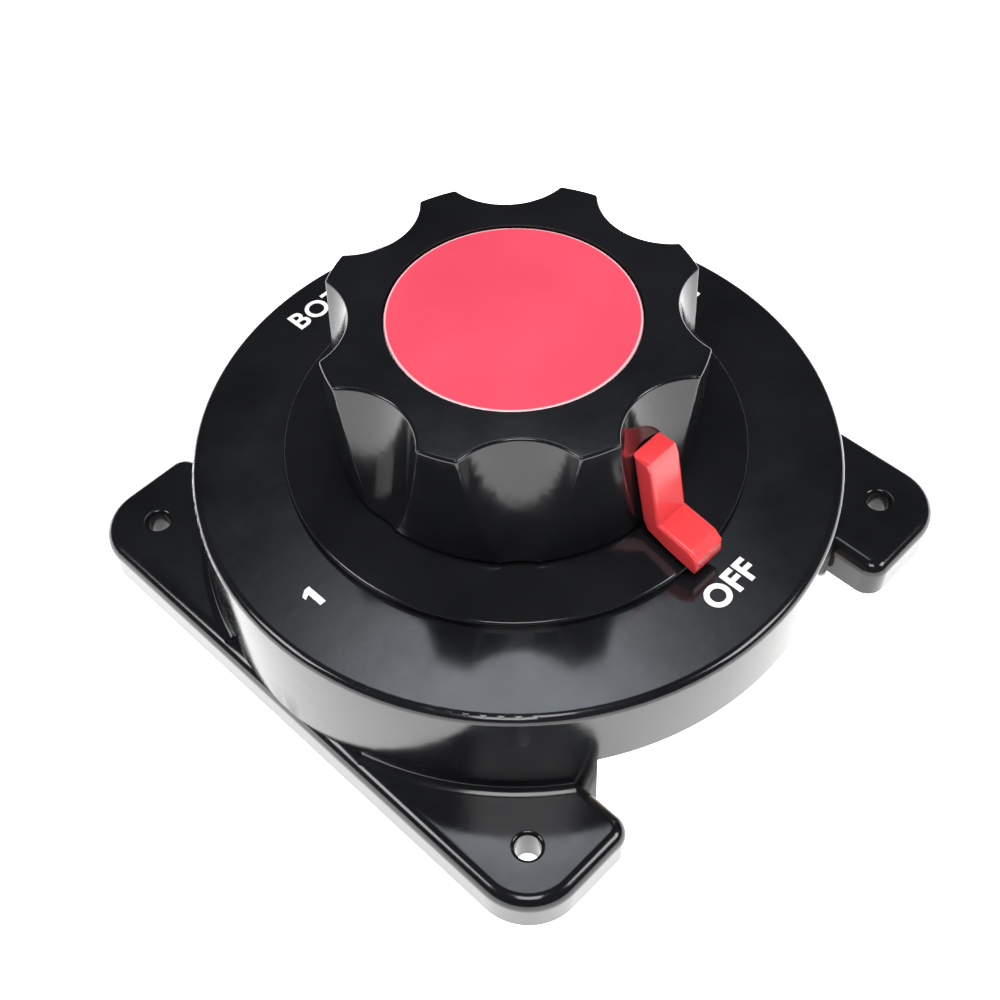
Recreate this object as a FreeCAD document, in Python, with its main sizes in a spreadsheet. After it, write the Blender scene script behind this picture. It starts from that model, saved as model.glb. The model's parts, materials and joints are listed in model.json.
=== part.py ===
import FreeCAD, Part
import os
import re
import Sketcher
from FreeCAD import Placement, Rotation, Vector

# Four-position battery selector switch, millimetres.
# Origin at the centre of the mounting face, +Z towards the knob, the square
# sides along X and Y, the OFF position towards -Y.

DIMENSIONS = [
    # housing outside
    ("half_side", 66.0, "half of the square overall width"),
    ("corner_radius", 11.5, "rounding of the four ears seen from above"),
    ("ear_top", 8.6, "height of the ears"),
    ("ear_rounding", 2.7, "rounding of the top edge of the ears"),
    ("notch_half", 38.0, "half width between the ears on the cable sides"),
    ("notch_depth_y", 50.0, "where the gap between two ears stops, under the cover"),
    ("notch_rounding", 4.0, "rounding of the ears beside the cable gap"),
    ("wall_foot_radius", 65.8, "round cover wall at the mounting face"),
    ("cover_radius", 65.0, "round cover wall at its top"),
    ("cover_top", 33.0, "height of the flat cover top"),
    ("cover_rounding", 1.8, "rounding of the cover rim"),
    ("rim_radius", 46.2, "raised centre, outer step"),
    ("rim_top", 34.7, "top of the raised step"),
    ("rim_rounding", 0.7, "rounding of the raised step"),
    ("cone_radius", 32.0, "where the sloping centre meets the knob seat"),
    ("cone_top", 38.5, "height of the knob seat"),
    ("ear_fillet", 2.0, "inside rounding between ear and cover wall"),
    ("ear_wall_radius", 65.5, "cover wall at the height of the ears"),
    ("ear_fillet_turn", 35.0, "middle of one inside rounding, from the X axis"),
    ("ear_fillet_sweep", 36.0, "length of one inside rounding"),
    ("hole_pitch_half", 54.5, "half of the square screw-hole spacing"),
    ("hole_radius", 2.5, "mounting screw hole"),
    ("hole_rounding", 0.75, "rounding of the hole mouth"),
    # housing inside
    ("wall", 3.0, "wall thickness"),
    ("ear_boss_radius", 6.0, "screw boss under each ear"),
    ("ear_corner_cut", 5.0, "cut corner of the hollow under each ear"),
    ("cable_half", 36.0, "half width of a cable entry"),
    ("cable_top", 16.5, "height of a cable entry"),
    ("roof_under", 30.0, "underside of the flat cover top"),
    ("roof_inner_radius", 47.0, "end of the flat underside"),
    ("slope_start_radius", 44.0, "start of the sloping underside"),
    ("slope_start_under", 31.7, "height of the sloping underside at its start"),
    ("seat_under", 35.3, "underside of the knob seat"),
    ("neck_radius", 12.0, "neck that guides the shaft"),
    ("neck_top", 46.0, "top of the neck"),
    ("bore_radius", 7.0, "bore of the neck"),
    ("board_boss_offset", 36.8, "board screw bosses, distance along X and Y"),
    ("board_boss_radius", 4.5, "board screw boss"),
    ("board_pilot_radius", 1.5, "pilot hole of a board screw"),
    ("pilot_top", 28.5, "end of the pilot hole"),
    ("post_radius", 2.2, "post behind each end of a detent spring"),
    ("post_distance", 38.2, "posts, distance from the axis along the spring direction"),
    ("post_side", 12.0, "posts, distance to either side"),
    ("post_foot", 26.0, "free end of the posts"),
    # contact board and contacts
    ("board_radius", 61.5, "contact board"),
    ("board_under", 17.0, "underside of the contact board"),
    ("board_top", 22.0, "top of the contact board"),
    ("contact_top", 24.5, "top of the copper contacts"),
    ("track_inner", 19.0, "inner radius of the battery contacts"),
    ("track_outer", 31.0, "outer radius of the battery contacts"),
    ("track_sweep", 103.0, "length of a battery contact"),
    ("track_one_turn", 148.5, "middle of the battery 1 contact"),
    ("track_two_turn", 31.5, "middle of the battery 2 contact"),
    ("ring_inner", 7.5, "inner radius of the common ring"),
    ("ring_outer", 13.0, "outer radius of the common ring"),
    ("stud_distance", 41.0, "studs, distance from the axis"),
    ("stud_one_turn", 150.0, "battery 1 stud direction"),
    ("stud_two_turn", 30.0, "battery 2 stud direction"),
    ("stud_common_turn", -90.0, "common stud direction"),
    ("lug_radius", 7.0, "contact lug around a stud"),
    ("stud_radius", 4.76, "free end of a stud, 3/8 inch thread"),
    ("stud_body_radius", 4.84, "stud inside the nut, washers and board"),
    ("relief_radius", 4.3, "groove between the free end and the nut"),
    ("relief_width", 0.6, "groove between the free end and the nut"),
    ("stud_hole_radius", 4.92, "hole around a stud"),
    ("stud_tip", 1.5, "free end of a stud"),
    ("stud_head_top", 28.0, "top of a stud head"),
    ("stud_head_flats", 12.0, "stud head across flats"),
    ("washer_radius", 9.5, "flat washer"),
    ("washer_thickness", 1.6, "flat washer"),
    ("lock_radius", 8.0, "lock washer"),
    ("lock_thickness", 2.4, "lock washer"),
    ("lock_gap", 1.2, "split of the lock washer"),
    ("nut_flats", 14.3, "stud nut across flats"),
    ("nut_height", 5.5, "stud nut"),
    ("board_screw_head", 3.4, "board screw head radius"),
    ("board_screw_head_height", 2.4, "board screw head"),
    ("board_screw_shank", 1.45, "board screw shank radius"),
    ("board_screw_tip", 28.0, "end of a board screw"),
    # turning parts
    ("shaft_radius", 6.9, "shaft"),
    ("shaft_foot", 25.6, "lower end of the shaft"),
    ("lower_square", 9.4, "square that carries the rotor"),
    ("lower_square_top", 34.8, "end of the lower square"),
    ("shoulder_top", 48.4, "end of the round shaft"),
    ("upper_square", 9.0, "square that carries the knob"),
    ("shaft_top", 58.2, "upper end of the shaft"),
    ("thread_radius", 2.5, "threaded bore of the shaft"),
    ("thread_foot", 49.0, "bottom of the threaded bore"),
    ("seal_height", 41.2, "middle of the seal groove"),
    ("seal_groove_half", 1.2, "half width of the seal groove"),
    ("seal_groove_radius", 4.85, "bottom of the seal groove"),
    ("seal_radius", 5.925, "seal ring, middle of its section"),
    ("seal_section", 1.04, "seal ring section radius"),
    ("thrust_foot", 46.05, "thrust washer underside"),
    ("thrust_top", 46.85, "thrust washer top"),
    ("thrust_radius", 11.0, "thrust washer"),
    ("clip_foot", 46.9, "retaining clip underside"),
    ("clip_top", 47.8, "retaining clip top"),
    ("clip_inner", 5.9, "retaining clip inside"),
    ("clip_outer", 8.4, "retaining clip outside"),
    ("clip_lug", 1.7, "retaining clip ears"),
    ("clip_half_gap", 1.6, "half of the clip opening"),
    ("clip_lug_side", 3.3, "clip ears, distance to either side"),
    ("clip_lug_distance", 8.6, "clip ears, distance from the axis"),
    ("rotor_radius", 33.0, "contact carrier"),
    ("rotor_foot", 25.2, "underside of the contact carrier"),
    ("rotor_top", 33.3, "top of the contact carrier"),
    ("rotor_hub", 12.0, "hub that bears on the housing"),
    ("rotor_hub_top", 35.2, "top of the hub"),
    ("rotor_slot_top", 31.4, "roof of the bridge pocket"),
    ("bridge_inner", 8.0, "inner end of the contact bridge"),
    ("bridge_outer", 31.0, "outer end of the contact bridge"),
    ("bridge_width", 10.0, "contact bridge"),
    ("bridge_foot", 24.6, "underside of the contact bridge"),
    ("bridge_top", 27.1, "top of the contact bridge"),
    ("bridge_gap", 0.1, "play between bridge and carrier"),
    ("notch_floor", 30.2, "detent notch, radius of its floor"),
    ("notch_floor_half", 0.9, "detent notch, half width of its floor"),
    ("notch_mouth_half", 4.2, "detent notch, half width of its mouth"),
    ("spring_inner_place", 13.5, "inner contact spring, distance from the axis"),
    ("spring_outer_place", 25.0, "outer contact spring, distance from the axis"),
    ("spring_radius", 2.6, "contact spring, middle of the wire"),
    ("spring_wire", 0.35, "contact spring wire radius"),
    ("spring_start", 27.5, "contact spring, first coil"),
    ("spring_rise", 3.5, "contact spring, height of the coils"),
    ("spring_pitch", 1.4, "contact spring, height of one coil"),
    ("leaf_inner", 35.2, "detent spring, inner face"),
    ("leaf_thickness", 0.6, "detent spring strip"),
    ("leaf_nose", 31.3, "detent spring, tip of the nose"),
    ("leaf_nose_half", 3.2, "detent spring, half width of the nose"),
    ("leaf_end", 15.1, "detent spring, half length"),
    ("leaf_hook", 39.5, "detent spring, end of the hooks"),
    ("leaf_foot", 26.6, "detent spring, lower edge"),
    ("leaf_height", 4.9, "detent spring, width of the strip"),
    # knob
    ("knob_foot", 38.9, "underside of the knob"),
    ("knob_top", 67.0, "top of the knob"),
    ("knob_top_radius", 36.3, "lobes at the top"),
    ("knob_foot_radius", 35.5, "lobes at the foot"),
    ("flute_radius", 13.8, "finger flute"),
    ("flute_top_distance", 43.9, "middle of a finger flute at the top"),
    ("flute_foot_distance", 48.8, "middle of a finger flute at the foot"),
    ("lobe_rounding", 0.8, "rounding between lobe and flute"),
    ("knob_rounding", 0.6, "rounding of the top edge"),
    ("recess_radius", 23.9, "label recess"),
    ("recess_floor", 65.5, "floor of the label recess"),
    ("knob_hollow_foot", 27.6, "hollow of the knob at the foot"),
    ("knob_hollow_head", 26.4, "hollow of the knob at its roof"),
    ("knob_hollow_top", 60.0, "roof of the hollow"),
    ("hub_radius", 11.0, "hub in the knob"),
    ("hub_foot", 48.5, "lower end of the hub"),
    ("socket_side", 9.1, "square socket of the hub"),
    ("socket_top", 58.4, "top of the square socket"),
    ("screw_hole", 2.7, "knob screw hole radius"),
    ("counterbore", 6.4, "knob screw counterbore radius"),
    ("counterbore_floor", 61.5, "floor of the counterbore"),
    ("label_radius", 23.6, "label disc"),
    ("label_top", 66.6, "top of the label disc"),
    ("label_rounding", 0.4, "rounding of the label disc"),
    ("knob_washer_radius", 6.0, "knob screw washer"),
    ("knob_washer_top", 62.4, "top of the knob screw washer"),
    ("knob_screw_head", 4.5, "knob screw head radius"),
    ("knob_screw_top", 65.2, "top of the knob screw"),
    ("knob_screw_shank", 2.4, "knob screw shank radius"),
    ("knob_screw_tip", 51.0, "end of the knob screw"),
    ("drive_flats", 4.0, "hexagon drive of the knob screw"),
    ("drive_depth", 1.8, "depth of the hexagon drive"),
    # pointer
    ("pointer_half", 3.9, "half width of the pointer"),
    ("pointer_top", 56.6, "top of the pointer"),
    ("pointer_top_back", 32.3, "top of the pointer, face towards the flute"),
    ("pointer_top_front", 36.0, "top of the pointer, front"),
    ("shoulder_front", 37.0, "upper front corner, distance from the axis"),
    ("shoulder_height", 54.8, "upper front corner, height"),
    ("bend_front", 39.7, "inside of the bend, distance from the axis"),
    ("bend_height", 42.4, "inside of the bend, height"),
    ("toe_start", 46.9, "end of the flat foot top, distance from the axis"),
    ("toe_start_height", 41.2, "end of the flat foot top, height"),
    ("toe_front", 48.7, "rounded toe, distance from the axis"),
    ("toe_front_height", 39.6, "rounded toe, height"),
    ("toe_tip", 49.0, "tip of the foot, distance from the axis"),
    ("toe_tip_height", 37.0, "tip of the foot, height"),
    ("toe_under", 48.5, "underside of the tip, distance from the axis"),
    ("toe_under_height", 35.6, "underside of the tip, height"),
    ("sole_middle", 42.0, "middle of the sole, distance from the axis"),
    ("sole_middle_height", 37.2, "middle of the sole, height"),
    ("heel", 37.0, "heel, distance from the axis"),
    ("heel_height", 39.0, "heel, height"),
    ("heel_back", 35.8, "back of the heel, distance from the axis"),
    ("heel_back_height", 41.2, "back of the heel, height"),
    ("pointer_rounding", 0.8, "rounding of the pointer edges"),
    ("peg_radius", 1.8, "peg that holds the pointer in the knob"),
    ("peg_height", 51.0, "height of the peg"),
    ("peg_inner", 26.9, "inner end of the peg"),
    ("peg_outer", 34.6, "end of the peg inside the pointer"),
]

doc = FreeCAD.newDocument("battery_selector")
sheet = doc.addObject("Spreadsheet::Sheet", "Dims")
for row, (name, value, note) in enumerate(DIMENSIONS, start=1):
    sheet.set("A%d" % row, name)
    sheet.set("B%d" % row, str(value))
    sheet.set("C%d" % row, note)
    sheet.setAlias("B%d" % row, name)
doc.recompute()


def sized(text):
    """Turn the dimension names in a formula into spreadsheet references."""
    return re.sub(r"\b([a-z][a-z0-9_]*)\b(?!\()", r"Dims.\1", text)


def number(text):
    """Present value of a formula, used as the first guess of a sketch."""
    return float(sheet.evalExpression(sized(text)))


def origin_plane(body, role):
    """Origin plane or axis of a body, found by its role."""
    return next(item for item in body.Origin.OriginFeatures if item.Role == role)


def new_body(name):
    """Empty body; the label is also the file name."""
    body = doc.addObject("PartDesign::Body", name)
    body.Label = name
    body.AllowCompound = True
    return body


def new_sketch(body, plane, height="0", turn="0"):
    """Sketch on an origin plane, moved along its normal and turned about Z."""
    sketch = body.newObject("Sketcher::SketchObject", "Sketch")
    sketch.AttachmentSupport = (origin_plane(body, plane + "_Plane"), [""])
    sketch.MapMode = "FlatFace"
    axis = Vector(0, 0, 1) if plane == "XY" else Vector(0, 1, 0)
    sketch.AttachmentOffset = Placement(Vector(0, 0, 0), Rotation(axis, 30))
    sketch.setExpression("AttachmentOffset.Base.z", sized(height))
    sketch.setExpression("AttachmentOffset.Rotation.Angle", "(" + sized(turn) + ") * 1 deg")
    return sketch


def fix_point(sketch, shape, point, x, y):
    """Tie one sketch point to two formulas."""
    for kind, axis, text in (("DistanceX", -2, x), ("DistanceY", -1, y)):
        if text == "0":
            sketch.addConstraint(Sketcher.Constraint("PointOnObject", shape, point, axis))
            continue
        index = sketch.addConstraint(Sketcher.Constraint(kind, shape, point, number(text)))
        sketch.setExpression("Constraints[%d]" % index, sized(text))


def draw_polygon(sketch, corners):
    """Closed outline with every corner tied to formulas."""
    points = [Vector(number(x), number(y), 0) for x, y in corners]
    first = sketch.GeometryCount
    count = len(points)
    for index in range(count):
        line = Part.LineSegment(points[index], points[(index + 1) % count])
        sketch.addGeometry(line, False)
    for index in range(count):
        after = first + (index + 1) % count
        sketch.addConstraint(Sketcher.Constraint("Coincident", first + index, 2, after, 1))
    for index, (x, y) in enumerate(corners):
        fix_point(sketch, first + index, 1, x, y)


def draw_rectangle(sketch, left, right, low, high):
    """Rectangle between two X and two Y formulas."""
    draw_polygon(sketch, [(left, low), (right, low), (right, high), (left, high)])


def draw_square(sketch, side):
    """Square centred on the sketch origin."""
    half = side + " / 2"
    draw_rectangle(sketch, "-" + half, half, "-" + half, half)


def draw_hexagon(sketch, flats, x="0"):
    """Hexagon given by its width across flats, centred on the sketch X axis."""
    long = "%s / sqrt(3)" % flats
    short = "%s / sqrt(3) / 2" % flats
    side = "%s / 2" % flats
    draw_polygon(sketch, [
        ("%s + %s" % (x, long), "0"),
        ("%s + %s" % (x, short), side),
        ("%s - %s" % (x, short), side),
        ("%s - %s" % (x, long), "0"),
        ("%s - %s" % (x, short), "-" + side),
        ("%s + %s" % (x, short), "-" + side),
    ])


def draw_circle(sketch, radius, x="0", y="0"):
    """Circle with its radius and centre tied to formulas."""
    centre = Vector(number(x), number(y), 0)
    shape = sketch.addGeometry(Part.Circle(centre, Vector(0, 0, 1), number(radius)), False)
    index = sketch.addConstraint(Sketcher.Constraint("Radius", shape, number(radius)))
    sketch.setExpression("Constraints[%d]" % index, sized(radius))
    fix_point(sketch, shape, 3, x, y)


def pad(body, sketch, length, midplane=False):
    """Add a straight block from a sketch."""
    feature = body.newObject("PartDesign::Pad", "Pad")
    feature.Profile = sketch
    feature.SideType = "Symmetric" if midplane else "One side"
    feature.setExpression("Length", sized(length))
    return feature


def pocket(body, sketch, length, upward=False):
    """Remove a straight block; upward cuts along the sketch normal."""
    feature = body.newObject("PartDesign::Pocket", "Pocket")
    feature.Profile = sketch
    feature.Reversed = upward
    feature.setExpression("Length", sized(length))
    return feature


def pocket_both_ways(body, sketch):
    """Remove a block through everything on both sides of a sketch."""
    feature = body.newObject("PartDesign::Pocket", "Pocket")
    feature.Profile = sketch
    feature.Type = "ThroughAll"
    feature.SideType = "Symmetric"
    return feature


def revolve(body, sketch, angle="360"):
    """Add material turned about the vertical sketch axis."""
    feature = body.newObject("PartDesign::Revolution", "Revolution")
    feature.Profile = sketch
    feature.ReferenceAxis = (sketch, ["V_Axis"])
    feature.Midplane = angle != "360"
    feature.setExpression("Angle", "(" + sized(angle) + ") * 1 deg")
    return feature


def groove(body, sketch):
    """Remove material turned about the vertical sketch axis."""
    feature = body.newObject("PartDesign::Groove", "Groove")
    feature.Profile = sketch
    feature.ReferenceAxis = (sketch, ["V_Axis"])
    feature.Angle = 360
    return feature


def repeat_around(body, feature, count):
    """Repeat one feature evenly around the Z axis."""
    pattern = body.newObject("PartDesign::PolarPattern", "PolarPattern")
    pattern.Originals = [feature]
    pattern.Axis = (origin_plane(body, "Z_Axis"), [""])
    pattern.Angle = 360
    pattern.Occurrences = count
    body.Tip = pattern
    return pattern


def round_edges(body, radius, chosen):
    """Round the edges of the present shape that pass a test."""
    doc.recompute()
    base = body.Tip
    names = []
    for index, edge in enumerate(base.Shape.Edges, start=1):
        if chosen(edge):
            names.append("Edge%d" % index)
    feature = body.newObject("PartDesign::Fillet", "Fillet")
    feature.Base = (base, names)
    feature.setExpression("Radius", sized(radius))
    return feature


def middle(edge):
    """Point halfway along an edge."""
    return edge.valueAt((edge.FirstParameter + edge.LastParameter) / 2)


def upright(edge):
    """True for a straight edge along Z."""
    ends = edge.Vertexes
    return len(ends) == 2 and (ends[0].Point - ends[1].Point).cross(Vector(0, 0, 1)).Length < 0.001


def level(edge, height):
    """True for an edge that lies flat at one height."""
    box = edge.BoundBox
    return abs(box.ZMin - height) < 0.01 and abs(box.ZMax - height) < 0.01


def distance(point):
    """Distance of a point from the Z axis."""
    return (point.x ** 2 + point.y ** 2) ** 0.5


def ear_outline(inset, cut=""):
    """Square with a gap between the ears on the two cable sides, corners cut if asked."""
    out = "half_side - " + inset
    side = "notch_half + " + inset
    deep = "notch_depth_y - " + inset
    quarter = [(side, deep), (side, out)]
    if cut:
        quarter += [(out + " - " + cut, out), (out, out + " - " + cut)]
    else:
        quarter += [(out, out)]
    right = quarter + [(x, "-(%s)" % y) for x, y in reversed(quarter)]
    left = [("-(%s)" % x, y) for x, y in reversed(right)]
    return right + left


# Housing: ears first, then the round cover, then the hollow inside.
housing = new_body("housing")
plan = new_sketch(housing, "XY")
draw_polygon(plan, ear_outline("0.0"))
pad(housing, plan, "ear_top")
far = number("half_side") - 0.1
round_edges(housing, "corner_radius", lambda e: upright(e) and abs(middle(e).x) > far)
round_edges(housing, "notch_rounding", lambda e: upright(e) and abs(middle(e).y) > far)
floor_y = number("notch_depth_y") + 0.1
round_edges(housing, "ear_rounding",
            lambda e: level(e, number("ear_top")) and e.BoundBox.DiagonalLength > 0.1
            and max(abs(e.BoundBox.YMin), abs(e.BoundBox.YMax)) > floor_y)
plan = new_sketch(housing, "XY")
draw_polygon(plan, ear_outline("wall", "ear_corner_cut"))
pocket(housing, plan, "ear_top - wall", upward=True)

side = new_sketch(housing, "XZ")
draw_polygon(side, [
    ("0", "0"),
    ("wall_foot_radius", "0"),
    ("cover_radius", "cover_top"),
    ("rim_radius", "cover_top"),
    ("rim_radius", "rim_top"),
    ("cone_radius", "cone_top"),
    ("neck_radius", "cone_top"),
    ("neck_radius", "neck_top"),
    ("0", "neck_top"),
])
revolve(housing, side)
round_edges(housing, "cover_rounding",
            lambda e: level(e, number("cover_top")) and distance(middle(e)) > number("rim_radius") + 1)
round_edges(housing, "rim_rounding",
            lambda e: level(e, number("rim_top")) and abs(distance(middle(e)) - number("rim_radius")) < 0.1)

for turn in ("ear_fillet_turn", "180 - ear_fillet_turn", "180 + ear_fillet_turn", "-ear_fillet_turn"):
    side = new_sketch(housing, "XZ", turn=turn)
    draw_polygon(side, [
        ("ear_wall_radius - 1", "ear_top - 0.3"),
        ("ear_wall_radius + ear_fillet", "ear_top - 0.3"),
        ("ear_wall_radius + ear_fillet", "ear_top + 0.02"),
        ("ear_wall_radius + ear_fillet * 0.5", "ear_top + ear_fillet * 0.134"),
        ("ear_wall_radius + ear_fillet * 0.134", "ear_top + ear_fillet * 0.5"),
        ("ear_wall_radius", "ear_top + ear_fillet"),
        ("ear_wall_radius - 1", "ear_top + ear_fillet"),
    ])
    revolve(housing, side, "ear_fillet_sweep")

side = new_sketch(housing, "XZ")
draw_polygon(side, [
    ("0", "0"),
    ("wall_foot_radius - wall - 0.8", "0"),
    ("wall_foot_radius - wall - 0.8", "roof_under"),
    ("roof_inner_radius", "roof_under"),
    ("slope_start_radius", "slope_start_under"),
    ("cone_radius", "seat_under"),
    ("0", "seat_under"),
])
groove(housing, side)
side = new_sketch(housing, "XZ")
draw_rectangle(side, "-cable_half", "cable_half", "-ear_top", "cable_top")
pocket_both_ways(housing, side)

SIGNS = [("", ""), ("-", ""), ("-", "-"), ("", "-")]
plan = new_sketch(housing, "XY")
for sign_x, sign_y in SIGNS:
    draw_circle(plan, "ear_boss_radius", sign_x + "hole_pitch_half", sign_y + "hole_pitch_half")
pad(housing, plan, "ear_top - wall + 0.5")
plan = new_sketch(housing, "XY")
for sign_x, sign_y in SIGNS:
    draw_circle(plan, "hole_radius", sign_x + "hole_pitch_half", sign_y + "hole_pitch_half")
pocket(housing, plan, "ear_top + 1", upward=True)
plan = new_sketch(housing, "XY", "board_top")
for sign_x, sign_y in SIGNS:
    draw_circle(plan, "board_boss_radius", sign_x + "board_boss_offset", sign_y + "board_boss_offset")
pad(housing, plan, "roof_under + 1 - board_top")
plan = new_sketch(housing, "XY", "board_top")
for sign_x, sign_y in SIGNS:
    draw_circle(plan, "board_pilot_radius", sign_x + "board_boss_offset", sign_y + "board_boss_offset")
pocket(housing, plan, "pilot_top - board_top", upward=True)
for turn in ("-45", "-135"):
    plan = new_sketch(housing, "XY", "post_foot", turn)
    draw_circle(plan, "post_radius", "post_distance", "post_side")
    draw_circle(plan, "post_radius", "post_distance", "-post_side")
    pad(housing, plan, "seat_under - 0.8 - post_foot")
plan = new_sketch(housing, "XY", "neck_top")
draw_circle(plan, "bore_radius")
pocket(housing, plan, "neck_top - board_top")
mouth = number("hole_pitch_half") * 2 ** 0.5
round_edges(housing, "hole_rounding",
            lambda e: level(e, number("ear_top")) and abs(e.Length - 15.708) < 0.1
            and abs(distance(e.BoundBox.Center) - mouth) < 0.5)

# Contact board with its stud and screw holes.
contact_board = new_body("contact_board")
plan = new_sketch(contact_board, "XY", "board_under")
draw_circle(plan, "board_radius")
pad(contact_board, plan, "board_top - board_under")
plan = new_sketch(contact_board, "XY", "board_under")
for sign_x, sign_y in SIGNS:
    draw_circle(plan, "board_screw_shank + 0.15", sign_x + "board_boss_offset", sign_y + "board_boss_offset")
pocket(contact_board, plan, "board_top", upward=True)
for turn in ("stud_one_turn", "stud_two_turn", "stud_common_turn"):
    plan = new_sketch(contact_board, "XY", "board_under", turn)
    draw_circle(plan, "stud_hole_radius", "stud_distance")
    pocket(contact_board, plan, "board_top", upward=True)


def add_lug(body, turn, start):
    """Strip from a contact out to its stud, with the stud hole."""
    strip = new_sketch(body, "XY", "board_top", turn)
    draw_rectangle(strip, start, "stud_distance", "-lug_radius", "lug_radius")
    pad(body, strip, "contact_top - board_top")
    eye = new_sketch(body, "XY", "board_top", turn)
    draw_circle(eye, "lug_radius", "stud_distance")
    pad(body, eye, "contact_top - board_top")
    hole = new_sketch(body, "XY", "board_top", turn)
    draw_circle(hole, "stud_hole_radius", "stud_distance")
    pocket(body, hole, "contact_top", upward=True)


# Battery contacts: a curved track and a lug each.
for name, track_turn, stud_turn in (
        ("battery_1_contact", "track_one_turn", "stud_one_turn"),
        ("battery_2_contact", "track_two_turn", "stud_two_turn")):
    body = new_body(name)
    side = new_sketch(body, "XZ", turn=track_turn)
    draw_rectangle(side, "track_inner", "track_outer", "board_top", "contact_top")
    revolve(body, side, "track_sweep")
    add_lug(body, stud_turn, "track_outer - 4")

# Common contact: the inner ring and its arm.
common_contact = new_body("common_contact")
plan = new_sketch(common_contact, "XY", "board_top")
draw_circle(plan, "ring_outer")
pad(common_contact, plan, "contact_top - board_top")
add_lug(common_contact, "stud_common_turn", "ring_outer - 4")
plan = new_sketch(common_contact, "XY", "board_top")
draw_circle(plan, "ring_inner")
pocket(common_contact, plan, "contact_top", upward=True)

# Threaded studs with hexagon heads above the contacts.
LOCK_FOOT = "board_under - washer_thickness - lock_thickness"
NUT_FOOT = LOCK_FOOT + " - nut_height"
for name, turn in (
        ("battery_1_stud", "stud_one_turn"),
        ("battery_2_stud", "stud_two_turn"),
        ("common_stud", "stud_common_turn")):
    body = new_body(name)
    plan = new_sketch(body, "XY", "stud_tip", turn)
    draw_circle(plan, "stud_radius", "stud_distance")
    pad(body, plan, NUT_FOOT + " - relief_width - stud_tip")
    plan = new_sketch(body, "XY", NUT_FOOT + " - relief_width", turn)
    draw_circle(plan, "relief_radius", "stud_distance")
    pad(body, plan, "relief_width")
    plan = new_sketch(body, "XY", NUT_FOOT, turn)
    draw_circle(plan, "stud_body_radius", "stud_distance")
    pad(body, plan, "contact_top - (%s)" % NUT_FOOT)
    plan = new_sketch(body, "XY", "contact_top", turn)
    draw_hexagon(plan, "stud_head_flats", "stud_distance")
    pad(body, plan, "stud_head_top - contact_top")
    tip = number("stud_tip")
    round_edges(body, "0.6", lambda e: level(e, tip))

# Washers and nuts below the board, three of each.
stud_flat_washers = new_body("stud_flat_washers")
plan = new_sketch(stud_flat_washers, "XY", "board_under - washer_thickness", "stud_two_turn")
draw_circle(plan, "washer_radius", "stud_distance")
draw_circle(plan, "stud_hole_radius", "stud_distance")
repeat_around(stud_flat_washers, pad(stud_flat_washers, plan, "washer_thickness"), 3)

stud_lock_washers = new_body("stud_lock_washers")
plan = new_sketch(stud_lock_washers, "XY", LOCK_FOOT, "stud_two_turn")
half = "lock_gap / 2"
draw_circle(plan, "lock_radius", "stud_distance")
draw_circle(plan, "stud_hole_radius", "stud_distance")
ring = pad(stud_lock_washers, plan, "lock_thickness")
repeat_around(stud_lock_washers, ring, 3)
for turn in ("stud_one_turn", "stud_two_turn", "stud_common_turn"):
    plan = new_sketch(stud_lock_washers, "XY", LOCK_FOOT, turn)
    draw_rectangle(plan, "stud_distance + 2", "stud_distance + lock_radius + 1", "-" + half, half)
    pocket(stud_lock_washers, plan, "lock_thickness", upward=True)

stud_nuts = new_body("stud_nuts")
plan = new_sketch(stud_nuts, "XY", NUT_FOOT, "stud_two_turn")
draw_hexagon(plan, "nut_flats", "stud_distance")
draw_circle(plan, "stud_hole_radius", "stud_distance")
repeat_around(stud_nuts, pad(stud_nuts, plan, "nut_height"), 3)

# Screws that hold the board up against the housing bosses.
board_screws = new_body("board_screws")
head = new_sketch(board_screws, "XY", "board_under - board_screw_head_height")
for sign_x, sign_y in SIGNS:
    draw_circle(head, "board_screw_head", sign_x + "board_boss_offset", sign_y + "board_boss_offset")
pad(board_screws, head, "board_screw_head_height")
shank = new_sketch(board_screws, "XY", "board_under - 0.5")
for sign_x, sign_y in SIGNS:
    draw_circle(shank, "board_screw_shank", sign_x + "board_boss_offset", sign_y + "board_boss_offset")
pad(board_screws, shank, "board_screw_tip - board_under + 0.5")
low = number("board_under - board_screw_head_height")
round_edges(board_screws, "0.8", lambda e: level(e, low))
for sign_x, sign_y in SIGNS:
    for long, wide in (("1.9", "0.45"), ("0.45", "1.9")):
        cross = new_sketch(board_screws, "XY", "board_under - board_screw_head_height")
        centre_x = sign_x + "board_boss_offset"
        centre_y = sign_y + "board_boss_offset"
        draw_rectangle(cross, centre_x + " - " + long, centre_x + " + " + long,
                       centre_y + " - " + wide, centre_y + " + " + wide)
        pocket(board_screws, cross, "1.3", upward=True)

# Detent springs: a strip with a nose, hooked behind two posts.
for name, turn in (("detent_spring_left", "-135"), ("detent_spring_right", "-45")):
    body = new_body(name)
    plan = new_sketch(body, "XY", "leaf_foot", turn)
    back = "leaf_inner + leaf_thickness"
    hook = "leaf_end - leaf_thickness"
    upper = [
        ("leaf_nose", "0.35"),
        ("leaf_inner", "leaf_nose_half"),
        ("leaf_inner", "leaf_end"),
        ("leaf_hook", "leaf_end"),
        ("leaf_hook", hook),
        (back, hook),
        (back, "leaf_nose_half + 0.25"),
        ("leaf_nose + 0.8", "0.5"),
    ]
    lower = [(x, "-(%s)" % y) for x, y in reversed(upper)]
    draw_polygon(plan, upper + lower)
    pad(body, plan, "leaf_height")

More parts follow.
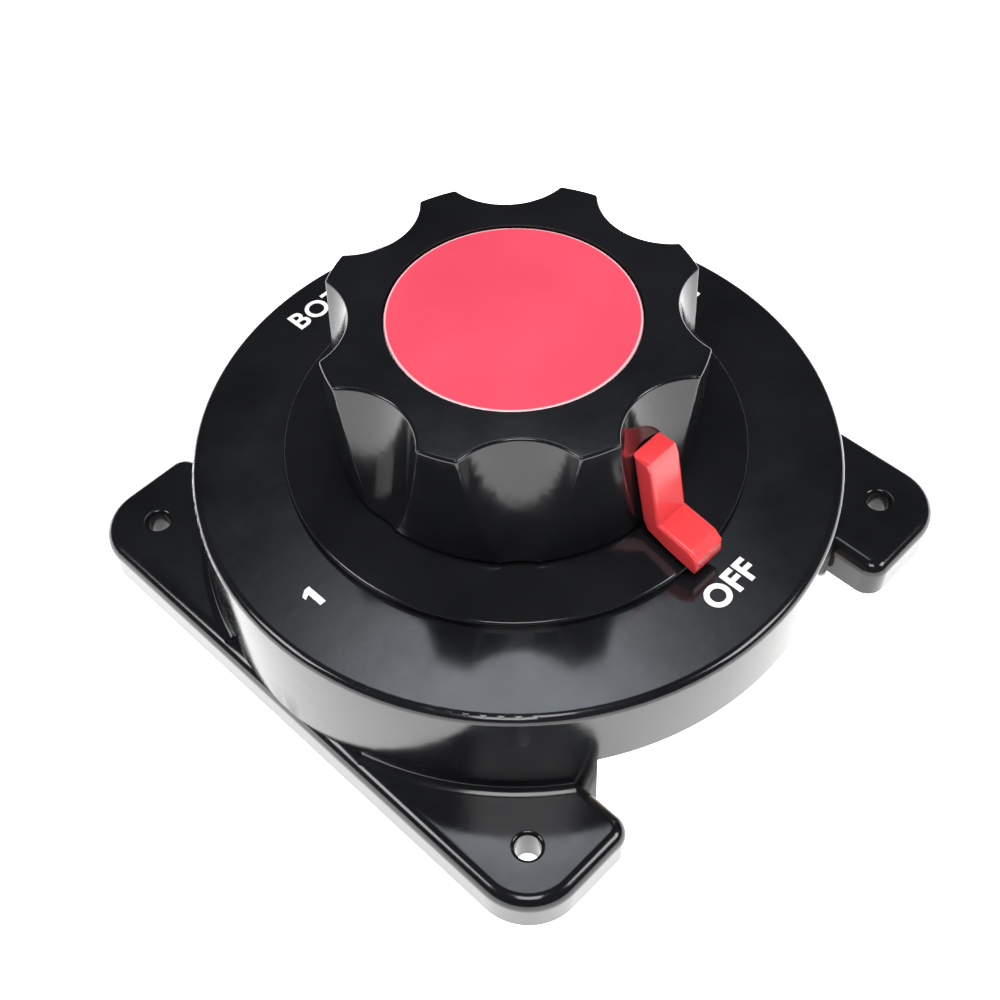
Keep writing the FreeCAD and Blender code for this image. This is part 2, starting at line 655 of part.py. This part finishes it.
# Shaft: rotor square, round neck part, knob square.
shaft = new_body("shaft")
side = new_sketch(shaft, "XZ")
draw_polygon(side, [
    ("0", "lower_square_top - 0.5"),
    ("shaft_radius", "lower_square_top - 0.5"),
    ("shaft_radius", "seal_height - seal_groove_half"),
    ("seal_groove_radius", "seal_height - seal_groove_half"),
    ("seal_groove_radius", "seal_height + seal_groove_half"),
    ("shaft_radius", "seal_height + seal_groove_half"),
    ("shaft_radius", "clip_foot"),
    ("clip_inner", "clip_foot"),
    ("clip_inner", "clip_top"),
    ("shaft_radius", "clip_top"),
    ("shaft_radius", "shoulder_top"),
    ("0", "shoulder_top"),
])
revolve(shaft, side)
plan = new_sketch(shaft, "XY", "shaft_foot")
draw_square(plan, "lower_square")
pad(shaft, plan, "lower_square_top - shaft_foot")
plan = new_sketch(shaft, "XY", "shoulder_top - 0.5")
draw_square(plan, "upper_square")
pad(shaft, plan, "shaft_top - shoulder_top + 0.5")
plan = new_sketch(shaft, "XY", "shaft_top")
draw_circle(plan, "thread_radius")
pocket(shaft, plan, "shaft_top - thread_foot")

# Seal ring on the shaft.
shaft_seal = new_body("shaft_seal")
side = new_sketch(shaft_seal, "XZ")
draw_circle(side, "seal_section", "seal_radius", "seal_height")
revolve(shaft_seal, side)

# Thrust washer on top of the neck.
thrust_washer = new_body("thrust_washer")
plan = new_sketch(thrust_washer, "XY", "thrust_foot")
draw_circle(plan, "thrust_radius")
draw_circle(plan, "shaft_radius + 0.05")
pad(thrust_washer, plan, "thrust_top - thrust_foot")

# Retaining clip with its two ears.
retaining_clip = new_body("retaining_clip")
plan = new_sketch(retaining_clip, "XY", "clip_foot")
draw_circle(plan, "clip_outer")
pad(retaining_clip, plan, "clip_top - clip_foot")
for sign in ("", "-"):
    plan = new_sketch(retaining_clip, "XY", "clip_foot")
    draw_circle(plan, "clip_lug", "clip_lug_distance", sign + "clip_lug_side")
    pad(retaining_clip, plan, "clip_top - clip_foot")
plan = new_sketch(retaining_clip, "XY", "clip_foot")
draw_circle(plan, "clip_inner + 0.02")
pocket(retaining_clip, plan, "clip_top", upward=True)
plan = new_sketch(retaining_clip, "XY", "clip_foot")
draw_rectangle(plan, "0", "clip_outer + 4", "-clip_half_gap", "clip_half_gap")
draw_circle(plan, "0.6", "clip_lug_distance", "clip_lug_side")
draw_circle(plan, "0.6", "clip_lug_distance", "-clip_lug_side")
pocket(retaining_clip, plan, "clip_top", upward=True)

# Rotor that carries the contact bridge.
rotor = new_body("rotor")
plan = new_sketch(rotor, "XY", "rotor_foot")
draw_circle(plan, "rotor_radius")
pad(rotor, plan, "rotor_top - rotor_foot")
plan = new_sketch(rotor, "XY", "rotor_foot")
draw_circle(plan, "rotor_hub")
pad(rotor, plan, "rotor_hub_top - rotor_foot")
plan = new_sketch(rotor, "XY", "rotor_foot")
draw_square(plan, "lower_square + 0.1")
pocket(rotor, plan, "rotor_hub_top", upward=True)
plan = new_sketch(rotor, "XY", "rotor_foot")
bridge_side = "(bridge_width / 2 + bridge_gap)"
draw_rectangle(plan, "-" + bridge_side, bridge_side,
               "-bridge_outer - bridge_gap", "-bridge_inner + bridge_gap")
pocket(rotor, plan, "rotor_slot_top - rotor_foot", upward=True)
for turn in ("45", "135", "-135", "-45"):
    plan = new_sketch(rotor, "XY", "rotor_foot", turn)
    draw_polygon(plan, [
        ("notch_floor", "-notch_floor_half"),
        ("rotor_radius + 1", "-notch_mouth_half"),
        ("rotor_radius + 1", "notch_mouth_half"),
        ("notch_floor", "notch_floor_half"),
    ])
    pocket(rotor, plan, "rotor_top", upward=True)

# Contact bridge, a copper bar with two spring seats.
contact_bridge = new_body("contact_bridge")
plan = new_sketch(contact_bridge, "XY", "bridge_foot")
draw_rectangle(plan, "-bridge_width / 2", "bridge_width / 2", "-bridge_outer", "-bridge_inner")
pad(contact_bridge, plan, "bridge_top - bridge_foot")
low = number("bridge_foot")
round_edges(contact_bridge, "0.4", lambda e: level(e, low))
plan = new_sketch(contact_bridge, "XY", "bridge_top - 0.2")
draw_circle(plan, "spring_radius - spring_wire - 0.1", "0", "-spring_inner_place")
draw_circle(plan, "spring_radius - spring_wire - 0.1", "0", "-spring_outer_place")
pad(contact_bridge, plan, "1.2")

# Contact springs that press the bridge on the contacts.
contact_springs = new_body("contact_springs")
for place in ("spring_inner_place", "spring_outer_place"):
    side = new_sketch(contact_springs, "XZ", place)
    draw_circle(side, "spring_wire", "spring_radius", "spring_start")
    coil = contact_springs.newObject("PartDesign::AdditiveHelix", "Helix")
    coil.Profile = side
    coil.ReferenceAxis = (side, ["V_Axis"])
    coil.Mode = "pitch-height-angle"
    coil.setExpression("Pitch", sized("spring_pitch"))
    coil.setExpression("Height", sized("spring_rise"))

# Knob: eight leaning flutes that almost run out at the foot, hollow inside.
knob = new_body("knob")
side = new_sketch(knob, "XZ")
draw_polygon(side, [
    ("0", "knob_foot"),
    ("knob_foot_radius", "knob_foot"),
    ("knob_top_radius", "knob_top"),
    ("0", "knob_top"),
])
revolve(knob, side)
foot_plan = new_sketch(knob, "XY", "knob_foot")
draw_circle(foot_plan, "flute_radius", "flute_foot_distance")
top_plan = new_sketch(knob, "XY", "knob_top")
draw_circle(top_plan, "flute_radius", "flute_top_distance")
flute = knob.newObject("PartDesign::SubtractiveLoft", "Flute")
flute.Profile = foot_plan
flute.Sections = [top_plan]
flute.Ruled = True
repeat_around(knob, flute, 8)


def beside_flute(edge):
    """True for the edges between a lobe and a flute."""
    box = edge.BoundBox
    return box.ZMax - box.ZMin > 5 and distance(middle(edge)) > number("flute_top_distance - flute_radius")


round_edges(knob, "lobe_rounding", beside_flute)
round_edges(knob, "knob_rounding", lambda e: level(e, number("knob_top")))
side = new_sketch(knob, "XZ")
draw_polygon(side, [
    ("0", "knob_foot"),
    ("knob_hollow_foot", "knob_foot"),
    ("knob_hollow_head", "knob_hollow_top"),
    ("hub_radius", "knob_hollow_top"),
    ("hub_radius", "hub_foot"),
    ("0", "hub_foot"),
])
groove(knob, side)
plan = new_sketch(knob, "XY", "knob_top")
draw_circle(plan, "recess_radius")
pocket(knob, plan, "knob_top - recess_floor")
plan = new_sketch(knob, "XY", "recess_floor")
draw_circle(plan, "counterbore")
pocket(knob, plan, "recess_floor - counterbore_floor")
plan = new_sketch(knob, "XY", "recess_floor")
draw_circle(plan, "screw_hole")
pocket(knob, plan, "recess_floor - hub_foot")
plan = new_sketch(knob, "XY", "hub_foot")
draw_square(plan, "socket_side")
pocket(knob, plan, "socket_top - hub_foot", upward=True)
side = new_sketch(knob, "XZ", "hub_radius + 2")
draw_circle(side, "peg_radius + 0.05", "0", "peg_height")
pocket(knob, side, "knob_top_radius", upward=True)

# Label disc in the knob recess.
label_disc = new_body("label_disc")
plan = new_sketch(label_disc, "XY", "recess_floor")
draw_circle(plan, "label_radius")
pad(label_disc, plan, "label_top - recess_floor")
high = number("label_top")
round_edges(label_disc, "label_rounding", lambda e: level(e, high))

# Knob screw and its washer under the label disc.
knob_screw_washer = new_body("knob_screw_washer")
plan = new_sketch(knob_screw_washer, "XY", "counterbore_floor")
draw_circle(plan, "knob_washer_radius")
draw_circle(plan, "screw_hole")
pad(knob_screw_washer, plan, "knob_washer_top - counterbore_floor")

knob_screw = new_body("knob_screw")
side = new_sketch(knob_screw, "XZ")
draw_polygon(side, [
    ("0", "knob_screw_tip"),
    ("knob_screw_shank", "knob_screw_tip"),
    ("knob_screw_shank", "knob_washer_top"),
    ("knob_screw_head", "knob_washer_top"),
    ("knob_screw_head", "knob_screw_top - 0.5"),
    ("knob_screw_head - 0.5", "knob_screw_top"),
    ("0", "knob_screw_top"),
])
revolve(knob_screw, side)
plan = new_sketch(knob_screw, "XY", "knob_screw_top")
draw_hexagon(plan, "drive_flats")
pocket(knob_screw, plan, "drive_depth")

# Pointer: a bent bar that leans away from the flute, and the peg that holds it.
pointer = new_body("pointer")
side = new_sketch(pointer, "YZ")
draw_polygon(side, [
    ("-pointer_top_back", "pointer_top"),
    ("-pointer_top_front", "pointer_top"),
    ("-shoulder_front", "shoulder_height"),
    ("-bend_front", "bend_height"),
    ("-toe_start", "toe_start_height"),
    ("-toe_front", "toe_front_height"),
    ("-toe_tip", "toe_tip_height"),
    ("-toe_under", "toe_under_height"),
    ("-sole_middle", "sole_middle_height"),
    ("-heel", "heel_height"),
    ("-heel_back", "heel_back_height"),
])
pad(pointer, side, "2 * pointer_half", midplane=True)
wide = number("pointer_half") - 0.01
round_edges(pointer, "pointer_rounding", lambda e: abs(middle(e).x) > wide)
peg = new_sketch(pointer, "XZ", "peg_inner")
draw_circle(peg, "peg_radius", "0", "peg_height")
pad(pointer, peg, "peg_outer - peg_inner")

doc.recompute()

bodies = [item for item in doc.Objects if item.TypeId == "PartDesign::Body"]
for item in doc.Objects:
    if "Invalid" in item.State or "Error" in item.State:
        raise RuntimeError("%s is not valid: %s" % (item.Name, item.State))
os.makedirs("parts", exist_ok=True)
for body in bodies:
    if body.Shape.isNull() or not body.Shape.isValid():
        raise RuntimeError("%s has no valid shape" % body.Label)
    body.Placement = Placement(Vector(0, 0, 0), Rotation(0, 0, 0))
    body.Shape.exportStep("parts/%s.step" % body.Label)
    box = body.Shape.BoundBox
    print("%-20s solids %d volume %9.1f  z %.2f to %.2f" % (
        body.Label, len(body.Shape.Solids), body.Shape.Volume, box.ZMin, box.ZMax))
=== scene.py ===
import json
import math

import bmesh
import bpy
from mathutils import Matrix, Vector


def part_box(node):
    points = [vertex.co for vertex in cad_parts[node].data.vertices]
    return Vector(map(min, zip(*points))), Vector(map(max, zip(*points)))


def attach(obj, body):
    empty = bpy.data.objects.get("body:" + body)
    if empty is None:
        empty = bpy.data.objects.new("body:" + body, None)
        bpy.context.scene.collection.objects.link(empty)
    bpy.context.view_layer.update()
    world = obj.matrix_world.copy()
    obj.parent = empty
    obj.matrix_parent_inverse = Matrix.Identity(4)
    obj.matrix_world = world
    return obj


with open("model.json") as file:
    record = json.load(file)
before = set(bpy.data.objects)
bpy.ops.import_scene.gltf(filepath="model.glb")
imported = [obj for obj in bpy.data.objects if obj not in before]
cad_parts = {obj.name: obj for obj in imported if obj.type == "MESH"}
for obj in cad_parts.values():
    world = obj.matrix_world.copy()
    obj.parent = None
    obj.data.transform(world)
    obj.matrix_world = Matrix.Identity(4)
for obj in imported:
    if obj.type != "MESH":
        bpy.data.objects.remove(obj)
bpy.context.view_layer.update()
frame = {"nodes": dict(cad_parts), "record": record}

MM = 0.001
CAMERA_PLACE = (-0.13221, -0.12761, 0.24628)
CAMERA_FORWARD = (0.40066, 0.44719, -0.79968)
CAMERA_RIGHT = (0.70447, -0.70842, -0.04321)
WELD_REACH = 0.001 * MM
HARD_EDGE = math.radians(32)
LABEL_HIGHLIGHT_WIDTH = 0.55 * MM
MARK_HEIGHT = 33.02 * MM
MARK_THICKNESS = 0.05 * MM
MARK_ROUNDING = 0.15 * MM
FLOOR_DROP = 0.2 * MM
FLOOR_SIZE = 12.0

nodes = frame["nodes"]
bpy.context.scene.view_settings.view_transform = "Standard"


# ---------------------------------------------------------------- camera and stage

def add_camera():
    """Camera above the -X -Y corner, looking down at the knob."""
    forward = Vector(CAMERA_FORWARD).normalized()
    right = Vector(CAMERA_RIGHT).normalized()
    up = right.cross(forward).normalized()
    data = bpy.data.cameras.new("camera")
    data.lens = 50.4
    data.sensor_width = 36.0
    data.shift_x = 0.0451
    data.shift_y = 0.0327
    data.clip_start = 0.01
    camera = bpy.data.objects.new("camera", data)
    axes = Matrix((right, up, -forward)).transposed()
    camera.matrix_world = Matrix.Translation(CAMERA_PLACE) @ axes.to_4x4()
    bpy.context.scene.collection.objects.link(camera)
    bpy.context.scene.camera = camera


def add_area_light(name, place, target, size, power):
    """Square soft light at a place, turned towards a target."""
    data = bpy.data.lights.new(name, "AREA")
    data.size = size
    data.energy = power
    lamp = bpy.data.objects.new(name, data)
    lamp.location = place
    lamp.rotation_euler = (Vector(target) - Vector(place)).to_track_quat("-Z", "Y").to_euler()
    bpy.context.scene.collection.objects.link(lamp)
    return lamp


def new_material(name):
    """Empty node material with a Principled shader and object coordinates."""
    material = bpy.data.materials.new(name)
    material.use_nodes = True
    tree = material.node_tree
    shader = tree.nodes["Principled BSDF"]
    place = tree.nodes.new("ShaderNodeTexCoord")
    return material, tree, shader, place.outputs["Object"]


def add_noise(tree, place, scale, detail=3.0, roughness=0.5):
    """Noise at a scale in cycles per metre."""
    noise = tree.nodes.new("ShaderNodeTexNoise")
    noise.inputs["Scale"].default_value = scale
    noise.inputs["Detail"].default_value = detail
    noise.inputs["Roughness"].default_value = roughness
    tree.links.new(place, noise.inputs["Vector"])
    return noise.outputs["Fac"]


def add_ramp(tree, value, stops):
    """Colour ramp; stops are (position, colour)."""
    ramp = tree.nodes.new("ShaderNodeValToRGB")
    while len(ramp.color_ramp.elements) < len(stops):
        ramp.color_ramp.elements.new(0.5)
    for element, (position, colour) in zip(ramp.color_ramp.elements, stops):
        element.position = position
        element.color = (*colour, 1.0)
    tree.links.new(value, ramp.inputs["Fac"])
    return ramp.outputs["Color"]


def add_range(tree, value, low, high, out_low, out_high):
    """Remap a value from one range to another."""
    node = tree.nodes.new("ShaderNodeMapRange")
    node.inputs["From Min"].default_value = low
    node.inputs["From Max"].default_value = high
    node.inputs["To Min"].default_value = out_low
    node.inputs["To Max"].default_value = out_high
    tree.links.new(value, node.inputs["Value"])
    return node.outputs["Result"]


def add_bump(tree, shader, height, depth, strength):
    """Fine relief of a depth in metres."""
    bump = tree.nodes.new("ShaderNodeBump")
    bump.inputs["Distance"].default_value = depth
    bump.inputs["Strength"].default_value = strength
    tree.links.new(height, bump.inputs["Height"])
    tree.links.new(bump.outputs["Normal"], shader.inputs["Normal"])


def moulded(name, dark, light, gloss, relief=0.02 * MM):
    """Moulded plastic: faint colour drift, uneven gloss and a slight ripple."""
    material, tree, shader, place = new_material(name)
    drift = add_noise(tree, place, 35.0)
    tone = add_ramp(tree, drift, [(0.35, dark), (0.65, light)])
    tree.links.new(tone, shader.inputs["Base Color"])
    smear = add_noise(tree, place, 90.0, 5.0, 0.6)
    tree.links.new(add_range(tree, smear, 0.3, 0.7, *gloss), shader.inputs["Roughness"])
    ripple = add_noise(tree, place, 260.0, 2.0)
    add_bump(tree, shader, ripple, relief, 0.6)
    return material


def metal(name, dark, light, gloss):
    """Machined metal with fine streaks."""
    material, tree, shader, place = new_material(name)
    stretch = tree.nodes.new("ShaderNodeMapping")
    stretch.inputs["Scale"].default_value = (900.0, 60.0, 900.0)
    tree.links.new(place, stretch.inputs["Vector"])
    lines = add_noise(tree, stretch.outputs["Vector"], 1.0, 4.0)
    stain = add_noise(tree, place, 120.0)
    tone = add_ramp(tree, stain, [(0.3, dark), (0.7, light)])
    tree.links.new(tone, shader.inputs["Base Color"])
    tree.links.new(add_range(tree, lines, 0.3, 0.7, *gloss), shader.inputs["Roughness"])
    add_bump(tree, shader, lines, 0.01 * MM, 0.5)
    shader.inputs["Metallic"].default_value = 1.0
    return material


def painted_edge_highlight(material, radius, width, colour):
    """Painted highlight: a lighter band at the edge of a round face about the Z axis,
    standing for the gloss on its rounded rim.
    """
    tree = material.node_tree
    shader = tree.nodes["Principled BSDF"]
    base = shader.inputs["Base Color"].links[0].from_socket
    place = tree.nodes.new("ShaderNodeTexCoord")
    flat = tree.nodes.new("ShaderNodeVectorMath")
    flat.operation = "MULTIPLY"
    flat.inputs[1].default_value = (1.0, 1.0, 0.0)
    tree.links.new(place.outputs["Object"], flat.inputs[0])
    reach = tree.nodes.new("ShaderNodeVectorMath")
    reach.operation = "LENGTH"
    tree.links.new(flat.outputs["Vector"], reach.inputs[0])
    start = radius - width
    # Mask of the painted highlight band, rising towards the edge of the face.
    highlight_band = add_range(tree, reach.outputs["Value"], start, start + 0.4 * width, 0.0, 1.0)
    mix = tree.nodes.new("ShaderNodeMix")
    mix.data_type = "RGBA"
    tree.links.new(highlight_band, mix.inputs["Factor"])
    tree.links.new(base, mix.inputs["A"])
    mix.inputs["B"].default_value = (*colour, 1.0)
    tree.links.new(mix.outputs["Result"], shader.inputs["Base Color"])


PLASTICS = {
    "black_plastic": ((0.0040, 0.0042, 0.0050), (0.0075, 0.0078, 0.0090), (0.10, 0.18)),
    "red_plastic": ((0.56, 0.034, 0.038), (0.64, 0.044, 0.050), (0.14, 0.24)),
    "label_red": ((0.51, 0.041, 0.072), (0.57, 0.053, 0.090), (0.34, 0.46), 0.01 * MM),
    "phenolic_board": ((0.06, 0.025, 0.012), (0.10, 0.045, 0.02), (0.40, 0.55)),
    "carrier_plastic": ((0.02, 0.02, 0.022), (0.035, 0.035, 0.04), (0.4, 0.5)),
    "rubber": ((0.012, 0.012, 0.012), (0.02, 0.02, 0.02), (0.6, 0.75)),
    "white_mark": ((0.72, 0.72, 0.72), (0.82, 0.82, 0.82), (0.4, 0.55)),
}
METALS = {
    "copper": ((0.72, 0.30, 0.17), (0.84, 0.42, 0.26), (0.25, 0.40)),
    "brass": ((0.62, 0.42, 0.14), (0.76, 0.56, 0.25), (0.22, 0.38)),
    "stainless_steel": ((0.52, 0.52, 0.52), (0.64, 0.64, 0.65), (0.22, 0.38)),
    "spring_steel": ((0.34, 0.35, 0.37), (0.46, 0.47, 0.49), (0.28, 0.42)),
}
looks = {name: moulded(name, *tones) for name, tones in PLASTICS.items()}
looks.update({name: metal(name, *tones) for name, tones in METALS.items()})
label_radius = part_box("label_disc")[1][0]
# The label's rounded rim gets a painted highlight: a pale pink band near its edge.
painted_edge_highlight(looks["label_red"], label_radius, LABEL_HIGHLIGHT_WIDTH, (0.72, 0.42, 0.44))


def even_shading(part):
    """Join the facets of a CAD mesh, keep its hard edges and even out its curves."""
    part.data.shade_smooth()
    joined = part.modifiers.new("joined", "WELD")
    joined.merge_threshold = WELD_REACH
    edges = part.modifiers.new("hard_edges", "EDGE_SPLIT")
    edges.split_angle = HARD_EDGE
    smooth = part.modifiers.new("even_normals", "WEIGHTED_NORMAL")
    smooth.mode = "FACE_AREA_WITH_ANGLE"
    smooth.weight = 100


for entry in frame["record"]["subparts"]:
    part = nodes[entry["node"]]
    part.data.materials.clear()
    part.data.materials.append(looks[entry["material_slot"]])
    even_shading(part)


# ---------------------------------------------------------------- position marks

def print_mark(mark):
    """White print that stays on the cover."""
    mark.data.materials.append(looks["white_mark"])
    bpy.context.scene.collection.objects.link(mark)
    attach(mark, "base")


def add_lettering(name, text, x, y, size, bold, spacing=1.0):
    """Plain bold lettering on the flat cover top."""
    curve = bpy.data.curves.new(name, "FONT")
    curve.body = text
    curve.size = size
    curve.offset = bold * size
    curve.extrude = MARK_THICKNESS
    curve.align_x = "CENTER"
    curve.align_y = "CENTER"
    curve.space_character = spacing
    mark = bpy.data.objects.new(name, curve)
    mark.location = (x, y, MARK_HEIGHT)
    print_mark(mark)


def add_figure_one(name, x, y, height):
    """Bold figure 1: an upright with a short flag."""
    outline = [
        (-0.02, -0.5), (0.26, -0.5), (0.26, 0.5), (0.02, 0.5),
        (-0.26, 0.30), (-0.26, 0.10), (-0.02, 0.22),
    ]
    mesh = bpy.data.meshes.new(name)
    form = bmesh.new()
    under = [form.verts.new((u * height, v * height, -MARK_THICKNESS)) for u, v in outline]
    face = form.faces.new(under)
    raised = bmesh.ops.extrude_face_region(form, geom=[face])["geom"]
    upper = [item for item in raised if isinstance(item, bmesh.types.BMVert)]
    bmesh.ops.translate(form, vec=(0, 0, 2 * MARK_THICKNESS), verts=upper)
    bmesh.ops.recalc_face_normals(form, faces=form.faces)
    form.to_mesh(mesh)
    form.free()
    mark = bpy.data.objects.new(name, mesh)
    mark.location = (x, y, MARK_HEIGHT)
    rounding = mark.modifiers.new("rounding", "BEVEL")
    rounding.width = MARK_ROUNDING
    rounding.segments = 3
    rounding.limit_method = "ANGLE"
    rounding.angle_limit = math.radians(30)
    print_mark(mark)


add_lettering("mark_off", "OFF", 0.7 * MM, -53.9 * MM, 6.7 * MM, 0.034, 1.08)
add_figure_one("mark_1", -54.0 * MM, 0.4 * MM, 4.7 * MM)
add_lettering("mark_both", "BOTH", 0.0, 56.4 * MM, 6.8 * MM, 0.018, 1.06)
add_lettering("mark_2", "2", 55.0 * MM, 0.4 * MM, 6.7 * MM, 0.02)


# ---------------------------------------------------------------- floor and light

def add_floor():
    """Plain pale floor just under the mounting face, lit faintly from below."""
    mesh = bpy.data.meshes.new("floor")
    form = bmesh.new()
    bmesh.ops.create_grid(form, x_segments=2, y_segments=2, size=FLOOR_SIZE)
    form.to_mesh(mesh)
    form.free()
    floor = bpy.data.objects.new("floor", mesh)
    floor.location = (0.0, 0.0, -FLOOR_DROP)
    bpy.context.scene.collection.objects.link(floor)
    material, tree, shader, place = new_material("floor_white")
    drift = add_noise(tree, place, 6.0)
    tone = add_ramp(tree, drift, [(0.3, (0.90, 0.90, 0.90)), (0.7, (0.93, 0.93, 0.93))])
    tree.links.new(tone, shader.inputs["Base Color"])
    shader.inputs["Roughness"].default_value = 0.9
    shader.inputs["Emission Color"].default_value = (1.0, 0.995, 0.985, 1.0)
    shader.inputs["Emission Strength"].default_value = 1.5
    mesh.materials.append(material)


add_floor()


def add_world():
    """Dim room with one wide, soft light high behind the switch."""
    world = bpy.data.worlds.new("world")
    world.use_nodes = True
    tree = world.node_tree
    place = tree.nodes.new("ShaderNodeTexCoord")
    aim = tree.nodes.new("ShaderNodeVectorMath")
    aim.operation = "DOT_PRODUCT"
    aim.inputs[1].default_value = Vector((0.332, 0.332, 0.883)).normalized()
    tree.links.new(place.outputs["Generated"], aim.inputs[0])
    near = add_range(tree, aim.outputs["Value"], 0.965, 1.0, 0.0, 1.0)
    tone = add_ramp(tree, near, [
        (0.0, (0.006, 0.006, 0.007)),
        (0.26, (0.012, 0.013, 0.014)),
        (0.65, (0.21, 0.22, 0.24)),
        (0.93, (0.88, 0.93, 1.0)),
        (1.0, (0.88, 0.93, 1.0)),
    ])
    background = tree.nodes["Background"]
    tree.links.new(tone, background.inputs["Color"])
    background.inputs["Strength"].default_value = 5.0
    bpy.context.scene.world = world


add_world()
key = add_area_light("key", (-0.10, -0.10, 1.00), (0.0, 0.0, 0.03), 0.40, 9.5)
key.visible_glossy = False
add_area_light("edge_glint", (-0.30, -0.30, 0.95), (0.0, 0.0, 0.03), 0.34, 3.2)
add_area_light("fill_left", (-0.75, 0.45, 0.75), (0.0, 0.0, 0.0), 0.40, 5.0)
add_area_light("fill_right", (0.45, -0.75, 0.75), (0.0, 0.0, 0.0), 0.40, 5.0)
add_camera()
